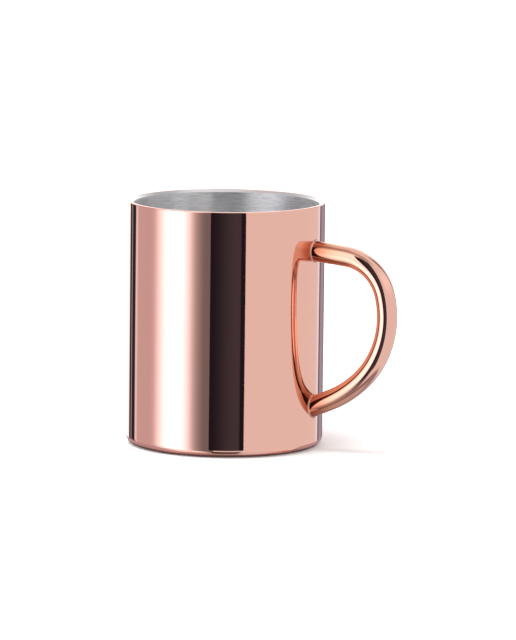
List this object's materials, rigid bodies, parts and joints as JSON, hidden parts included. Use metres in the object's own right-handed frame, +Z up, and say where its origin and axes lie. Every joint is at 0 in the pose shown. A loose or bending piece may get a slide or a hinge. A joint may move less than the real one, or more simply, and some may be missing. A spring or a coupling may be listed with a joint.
{
  "type": "double-walled mug",
  "caption": "Straight double-walled metal mug with a bevelled rim, rounded foot and welded D-shaped tube handle.",
  "frame": {"origin": "centre of the foot ring, on the table", "axes": "+Z up along the body's axis, +X towards the handle, which lies in the XZ plane"},
  "size_m": [0.1117, 0.077, 0.0955],
  "materials": {
    "copper_plate": "mirror-polished copper plate on stainless steel",
    "brushed_steel": "fine brushed rings round the wall, polished bevel at the lip",
    "weld_copper": "polished weld bead under the copper plate"
  },
  "bodies": {
    "root": {"outer_shell": "copper_plate", "inner_liner": "brushed_steel", "rim_weld": "copper_plate", "base_plate": "copper_plate", "base_weld": "weld_copper", "handle_tube": "copper_plate", "upper_handle_weld": "weld_copper", "lower_handle_weld": "weld_copper"}
  },
  "joints": []
}
